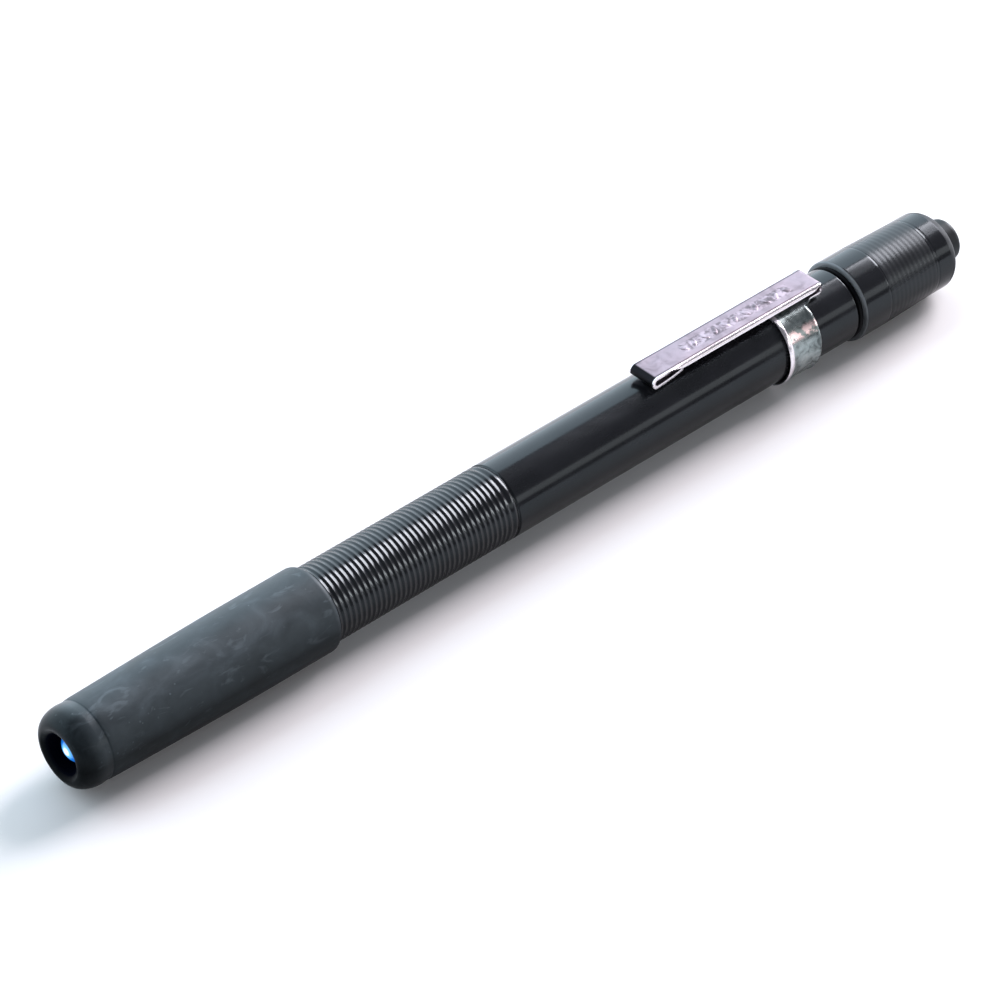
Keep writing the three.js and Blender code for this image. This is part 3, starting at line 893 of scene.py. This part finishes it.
def clip_rows():
    """The clip's strip as rows from the band's rear edge to the end of the folded tip, in
    millimetres. A row is (x, height, normal, half width, rolled share). In the fillet behind the
    band, a row has no height, and its share of the way to the flat tongue is in normal's place."""
    band_rear = BAND[0].x / MM + RING_WIDTH
    fold_r = (ARM_Z - TONGUE_Z) / 2
    rows = []
    for k in range(7):
        share = k / 6
        narrowing = math.sqrt(max(0.0, FILLET ** 2 - (FILLET * (1 - share)) ** 2))
        rows.append((band_rear + FILLET * share, None, share,
                     CLIP_HALF + FILLET - narrowing, 0.0))
    halfway = (band_rear + FILLET + FOLD_X) / 2
    rows.append((halfway, TONGUE_Z, (0, 1), CLIP_HALF, 0.0))
    for x, z, normal in half_turn(FOLD_X, TONGUE_Z + fold_r, fold_r, -90):
        past = max(0.0, x - FOLD_X + 0.05)
        wide = CLIP_HALF - 0.6 * (1 - math.sqrt(max(0.0, 1 - (past / 0.76) ** 2)))
        rows.append((x, z, normal, wide, 0.0))
    steps = 34
    for k in range(1, steps):
        x = FOLD_X + (TIP_X - FOLD_X) * k / steps
        rolled = min(1.0, (FOLD_X - x) / 0.6 + 0.25, max(0.0, x - TIP_X - 2.6) / 2.0)
        rows.append((x, ARM_Z, (0, -1), CLIP_HALF, rolled))
    for place in half_turn(TIP_X, ARM_Z - TIP_R, TIP_R, 90):
        rows.append((*place, CLIP_HALF, 0.0))
    for k in range(1, 6):
        share = k / 5
        rows.append((TIP_X + FLAP * share, ARM_Z - 2 * TIP_R + 0.4 * share ** 2,
                     (0, 1), CLIP_HALF - 0.2 * share, 0.0))
    return rows


def clip_sheet(rim):
    """The sheet's middle surface: the round band, then the strip behind it, row by row."""
    rows = clip_rows()
    half_columns = [0.3, 0.55, 0.72, 0.8, 0.86, 0.91, 0.955, 1]
    columns = [-c for c in reversed(half_columns)] + [0] + half_columns
    verts, faces = [], []

    def point(x, y, up):
        verts.append((x * MM, y * MM, AXIS_Z + up * MM))
        return len(verts) - 1

    def on_band(x, around, lift):
        angle = around / RING_R
        clear = min(1.0, max(0.0, (abs(around) - 2.4) / 1.6))
        out = RING_R + lift * clear
        return point(x, out * math.sin(angle), out * math.cos(angle))

    reach = math.pi * RING_R - RING_SLIT / 2
    joint = rows[0][3]
    side = 26
    left = [-reach + (reach - joint) * k / side for k in range(side)]
    arounds = left + [joint * c for c in columns] + [-a for a in reversed(left)]
    edge = ((0.0, 0.02), (0.1, 0.09), (0.24, 0.12), (0.4, 0.1), (0.52, 0.03), (0.62, 0.0))
    steps = [(BAND[0].x / MM + x, lift) for x, lift in edge]
    steps += [(rows[0][0] - x, lift) for x, lift in reversed(edge)]
    band = [[on_band(x, a, lift) for a in arounds] for x, lift in steps]
    for a, b in zip(band, band[1:]):
        faces.extend(cells_between(a, b))
    last = band[-1][side:side + len(columns)]
    for x, z, normal, half, rolled in rows[1:]:
        row = []
        for c in columns:
            across = half * c
            if z is None:
                ease = normal * normal * (3 - 2 * normal)
                angle = across / RING_R
                y = RING_R * math.sin(angle) * (1 - ease) + across * ease
                up = RING_R * math.cos(angle) * (1 - ease) + TONGUE_Z * ease
                row.append(point(x, y, up))
            else:
                y, drop = rolled_down(across, half, rim * rolled)
                row.append(point(x + normal[0] * drop, y, z + normal[1] * drop))
        faces.extend(cells_between(last, row))
        last = row
    return verts, faces


def cells_between(a, b):
    return [(a[k], b[k], b[k + 1], a[k + 1]) for k in range(len(a) - 1)]


def rolled_down(across, half, drop):
    """Where a point of the arm lies once its side edges are rolled down."""
    width = 0.5
    past = abs(across) - (half - width)
    if past <= 0 or drop <= 0:
        return across, 0.0
    angle = past / width * math.pi / 2
    y = half - width + width * math.sin(angle) * 0.9 + 0.05
    return math.copysign(y, across), drop * (1 - math.cos(angle))


class PENLIGHT_OT_clip(bpy.types.Operator):
    """Forms the pocket clip from one strip of sheet, with its band and its raised lozenges"""

    bl_idname = "penlight.clip"
    bl_label = "Pocket clip"

    def execute(self, context):
        choice = context.scene.penlight_clip
        piece = new_object("pocket_clip", *clip_sheet(choice.rim / MM))
        wall = piece.modifiers.new("sheet", "SOLIDIFY")
        wall.thickness = choice.sheet
        wall.offset = 0.0
        wall.use_even_offset = True
        edge = piece.modifiers.new("edges", "BEVEL")
        edge.width = 0.13 * MM
        edge.segments = 3
        edge.limit_method = "ANGLE"
        edge.angle_limit = math.radians(50)
        bake(piece)
        finish = plated_steel(tuple(choice.tint), choice.gloss, ARM, BAND)
        apply_recipe(piece, lozenge_row_recipe(), {
            "Count": choice.lozenges, "First": Vector((26.5 * MM, 0.0, AXIS_Z + 7.14 * MM)),
            "Size": (0.46 * MM, 0.98 * MM, 0.16 * MM), "Lean": math.radians(30),
            "Material": finish,
        })
        bake(piece)
        soften(piece, RIDGED_ANGLE)
        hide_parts("clip_arm", "clip_band")
        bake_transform(piece)
        return {"FINISHED"}


class PENLIGHT_OT_cap(bpy.types.Operator):
    """Turns the tail cap with its ridged zone"""

    bl_idname = "penlight.cap"
    bl_label = "Tail cap"

    def execute(self, context):
        choice = context.scene.penlight_cap
        tube = context.scene.penlight_barrel
        front, rear = CAP[0].x / MM, CAP[1].x / MM
        full, small, bore, hole = AXIS_Z / MM, 5.7, 5.0, 3.3
        depth = choice.ridge_depth / MM
        edge = choice.edge / MM
        grip_front, grip_rear = front + 5.0, front + 14.1
        pitch = (grip_rear - grip_front) / choice.ridge_count
        profile = rounded([
            (grip_rear, small - depth), (grip_rear + 0.15, small, 0.06),
            (grip_rear + 0.35, small - 0.02, 0.08), (grip_rear + 0.55, small - 0.02, 0.06),
            (grip_rear + 0.65, small, 0.06),
            *arc(rear - edge, small - edge, edge, edge, 90, 0, 9), (rear, small - edge - 0.2),
            (rear, hole, 0.12), (rear - 1.45, hole, 0.05), (rear - 1.45, bore, 0.1),
            (front, bore, 0.1), (front, full, 0.3), (grip_front - 0.32, full, 0.1),
            (grip_front - 0.06, full - 0.03, 0.06), (grip_front, full - depth),
        ])
        finish = black_anodised("cap_anodised", tuple(tube.tint), tube.gloss * 0.9, (
            (front * MM, 1.0), ((grip_front - 0.05) * MM, 1.0), ((grip_front + 0.05) * MM, 2.0),
            ((grip_rear - 0.05) * MM, 2.0), ((grip_rear + 0.05) * MM, 1.0),
            ((rear - edge - 0.1) * MM, 1.0), ((rear - edge + 0.2) * MM, 3.4), (rear * MM, 3.4),
        ), (front + 0.22) * MM)
        piece = turned_piece("cap_shell", [(profile, False)], finish)
        apply_recipe(piece, ridged_band_recipe(), {
            "Start": grip_front * MM, "Pitch": pitch * MM, "Count": choice.ridge_count,
            "Start Radius": full * MM, "End Radius": small * MM, "Depth": choice.ridge_depth,
            "Material": finish,
        })
        bake(piece)
        soften(piece, RIDGED_ANGLE)
        settle(piece, "cap", "black_anodised", "tail_cap")
        return {"FINISHED"}


class PENLIGHT_OT_button(bpy.types.Operator):
    """Moulds the push button"""

    bl_idname = "penlight.button"
    bl_label = "Push button"

    def execute(self, context):
        front, rear = BUTTON[0].x / MM, BUTTON[1].x / MM
        profile = rounded([
            (front, 0.0), (front, 3.9, 0.1), (front + 0.7, 3.9, 0.1), (front + 0.7, 3.1, 0.1),
            *arc(rear - 0.75, 2.35, 0.75, 0.75, 90, 0, 9), (rear - 0.02, 1.9, 0.4),
            (rear - 0.1, 0.9, 0.8), (rear - 0.12, 0.0),
        ])
        piece = turned_piece("button_dome", [(profile, False)], button_rubber(), 72)
        settle(piece, "button", "button_rubber", "push_button")
        return {"FINISHED"}


class PENLIGHT_OT_seals(bpy.types.Operator):
    """Moulds the O-rings of the lamp, the barrel's tail and the button"""

    bl_idname = "penlight.seals"
    bl_label = "O-rings"

    def execute(self, context):
        finish = seal_rubber()
        for node, name, body, sunk in (
            ("lens_oring", "lamp_seal", "barrel", 0.0),
            ("tail_oring", "tail_seal", "barrel", 0.12),
            ("button_seal", "button_ring", "cap", 0.0),
        ):
            low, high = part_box(node)
            wire = (high.x - low.x) / 2 / MM
            radius = (high.y - low.y) / 2 / MM - wire - sunk
            ring = arc((low.x + high.x) / 2 / MM, radius, wire, wire, 90, -270, 16)[:-1]
            section = [(x * MM, r * MM) for x, r in ring]
            piece = turned_piece(name, [(section, True)], finish, 72)
            settle(piece, body, "seal_rubber", node)
        return {"FINISHED"}


class PENLIGHT_OT_springs(bpy.types.Operator):
    """Winds the battery spring and the button's return spring"""

    bl_idname = "penlight.springs"
    bl_label = "Springs"

    def execute(self, context):
        finish = bright_steel("spring_steel")
        recipe = coil_recipe()
        for node, name, body, wire in (
            ("cell_spring", "battery_spring", "contact", 0.25),
            ("button_spring", "return_spring", "cap", 0.2),
        ):
            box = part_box(node)
            piece = new_object(name, [(0, 0, 0), (MM, 0, 0), (0, MM, 0)], [(0, 1, 2)])
            apply_recipe(piece, recipe, {
                "Start": box[0].x, "Length": box[1].x - box[0].x, "Wire": wire * MM,
                "Material": finish,
            })
            bake(piece)
            settle(piece, body, "spring_steel", node)
            if node == "button_spring":
                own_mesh(piece)
        return {"FINISHED"}


class PENLIGHT_OT_inner_parts(bpy.types.Operator):
    """Gives the parts inside the pen their finishes"""

    bl_idname = "penlight.inner_parts"
    bl_label = "Inner parts"

    def execute(self, context):
        metal, steel = brass(), bright_steel("lead_steel")
        ring = bright_steel("ring_steel")
        finishes = {
            "led_holder": metal, "front_contact": metal, "contact_disc": metal,
            "switch_pin": metal, "led_anode": steel, "led_cathode": steel, "retaining_ring": ring,
            "driver_board": circuit_board(), "ballast_resistor": resistor_body(),
            "switch_housing": insulator(),
        }
        for node in ("cell_front", "cell_middle", "cell_rear"):
            low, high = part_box(node)
            finishes[node] = cell_wrapper(low.x, high.x)
        for node, finish in finishes.items():
            for material_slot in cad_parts[node].material_slots:
                material_slot.material = finish
        return {"FINISHED"}


# ---- stage


def soft_light(name, place, aim, width, height, radiance, tint):
    """A rectangular soft light; radiance is its brightness as seen in a mirror."""
    lamp = bpy.data.lights.new(name, "AREA")
    lamp.shape = "RECTANGLE"
    lamp.size, lamp.size_y = width, height
    lamp.energy = radiance * 4 * width * height
    lamp.color = tint
    holder = bpy.data.objects.new(name, lamp)
    away = (Vector(place) - Vector(aim)).normalized()
    across = Vector((0, 0, 1)).cross(away).normalized()
    up = away.cross(across)
    turn = Matrix((across, up, away)).transposed().to_4x4()
    holder.matrix_world = Matrix.Translation(place) @ turn
    holder.visible_camera = False
    bpy.context.scene.collection.objects.link(holder)


def lay_floor(tone):
    reach = 4.0
    corners = [(x * reach, y * reach, 0) for x, y in ((-1, -1), (1, -1), (1, 1), (-1, 1))]
    floor = new_object("studio_floor", corners, [(0, 1, 2, 3)])
    paint(floor, studio_paper(tone))


def set_lights():
    middle = (0.0, 0.0, AXIS_Z)
    for light in (
        ("back_panel", (0.5, 0.58, 0.245), (0.5, 0.06, -0.135), 3.4, 0.95, 1.85, (0.76, 0.9, 1)),
        ("tail_panel", (1.35, 0.17, 0.76), middle, 0.72, 1.1, 13.0, (1, 0.93, 0.98)),
        ("near_strip", (0.75, -0.74, 0.3), (0.5, 0, 0), 2.0, 0.24, 1.15, (1, 0.95, 0.94)),
        ("low_panel", (1.32, -0.72, 0.22), middle, 0.5, 0.22, 6.0, (1, 0.96, 0.97)),
    ):
        soft_light(*light)
    world = bpy.data.worlds.new("studio_air")
    world.use_nodes = True
    air = next(n for n in world.node_tree.nodes if n.type == "BACKGROUND")
    air.inputs["Color"].default_value = (0.2, 0.21, 0.23, 1.0)
    air.inputs["Strength"].default_value = 1.0
    bpy.context.scene.world = world
    bpy.context.scene.view_settings.view_transform = "Standard"


def set_camera(choice):
    flat = math.cos(choice.elevation)
    right = Vector((math.cos(choice.azimuth), math.sin(choice.azimuth), 0.0))
    back = Vector((math.sin(choice.azimuth) * flat, -math.cos(choice.azimuth) * flat,
                   math.sin(choice.elevation)))
    up = back.cross(right)
    middle = Vector((-7.85 * MM, 0.0, AXIS_Z))
    aim = middle + right * 1.215 * MM + up * 0.49 * MM
    data = bpy.data.cameras.new("view")
    data.lens = choice.focal
    data.sensor_width = 36.0
    data.clip_start = 0.01
    data.clip_end = 20.0
    camera = bpy.data.objects.new("view", data)
    turn = Matrix((right, up, back)).transposed().to_4x4()
    camera.matrix_world = Matrix.Translation(aim + back * choice.distance) @ turn
    bpy.context.scene.collection.objects.link(camera)
    bpy.context.scene.camera = camera


class PENLIGHT_OT_stage(bpy.types.Operator):
    """Sets the floor, the soft lights and the camera"""

    bl_idname = "penlight.stage"
    bl_label = "Stage"

    def execute(self, context):
        choice = context.scene.penlight_stage
        lay_floor(choice.paper)
        set_lights()
        set_camera(choice)
        return {"FINISHED"}


# ---- add-on


class PENLIGHT_PT_panel(bpy.types.Panel):
    """Sizes, colours and steps of the penlight"""

    bl_idname = "PENLIGHT_PT_panel"
    bl_label = "Penlight"
    bl_space_type = "VIEW_3D"
    bl_region_type = "UI"
    bl_category = "Penlight"

    def draw(self, context):
        for label, name, _, operators in STEPS:
            box = self.layout.box()
            box.label(text=label)
            settings = getattr(context.scene, name) if name else None
            for key in settings.__annotations__ if settings else ():
                box.prop(settings, key)
            for operator in operators:
                box.operator(operator)


STEPS = (
    ("Nose boot", "penlight_boot", PenlightBootSettings, ("penlight.boot",)),
    ("Lamp", "penlight_lamp", PenlightLampSettings, ("penlight.lamp",)),
    ("Barrel", "penlight_barrel", PenlightBarrelSettings, ("penlight.barrel",)),
    ("Clip", "penlight_clip", PenlightClipSettings, ("penlight.clip",)),
    ("Tail cap", "penlight_cap", PenlightCapSettings, ("penlight.cap", "penlight.button")),
    ("Small parts", None, None, ("penlight.seals", "penlight.springs", "penlight.inner_parts")),
    ("Stage", "penlight_stage", PenlightStageSettings, ("penlight.stage",)),
)
SETTINGS = {name: group for _, name, group, _ in STEPS if name}

CLASSES = (
    *SETTINGS.values(), PENLIGHT_OT_boot, PENLIGHT_OT_lamp, PENLIGHT_OT_barrel, PENLIGHT_OT_clip,
    PENLIGHT_OT_cap, PENLIGHT_OT_button, PENLIGHT_OT_seals, PENLIGHT_OT_springs,
    PENLIGHT_OT_inner_parts, PENLIGHT_OT_stage, PENLIGHT_PT_panel,
)


def register():
    for entry in CLASSES:
        bpy.utils.register_class(entry)
    for name, group in SETTINGS.items():
        setattr(bpy.types.Scene, name, PointerProperty(type=group))


def unregister():
    for name in SETTINGS:
        delattr(bpy.types.Scene, name)
    for entry in reversed(CLASSES):
        bpy.utils.unregister_class(entry)


def main():
    register()
    for *_, operators in STEPS:
        for operator in operators:
            area, name = operator.split(".")
            getattr(getattr(bpy.ops, area), name)()


if __name__ == "__main__":
    main()
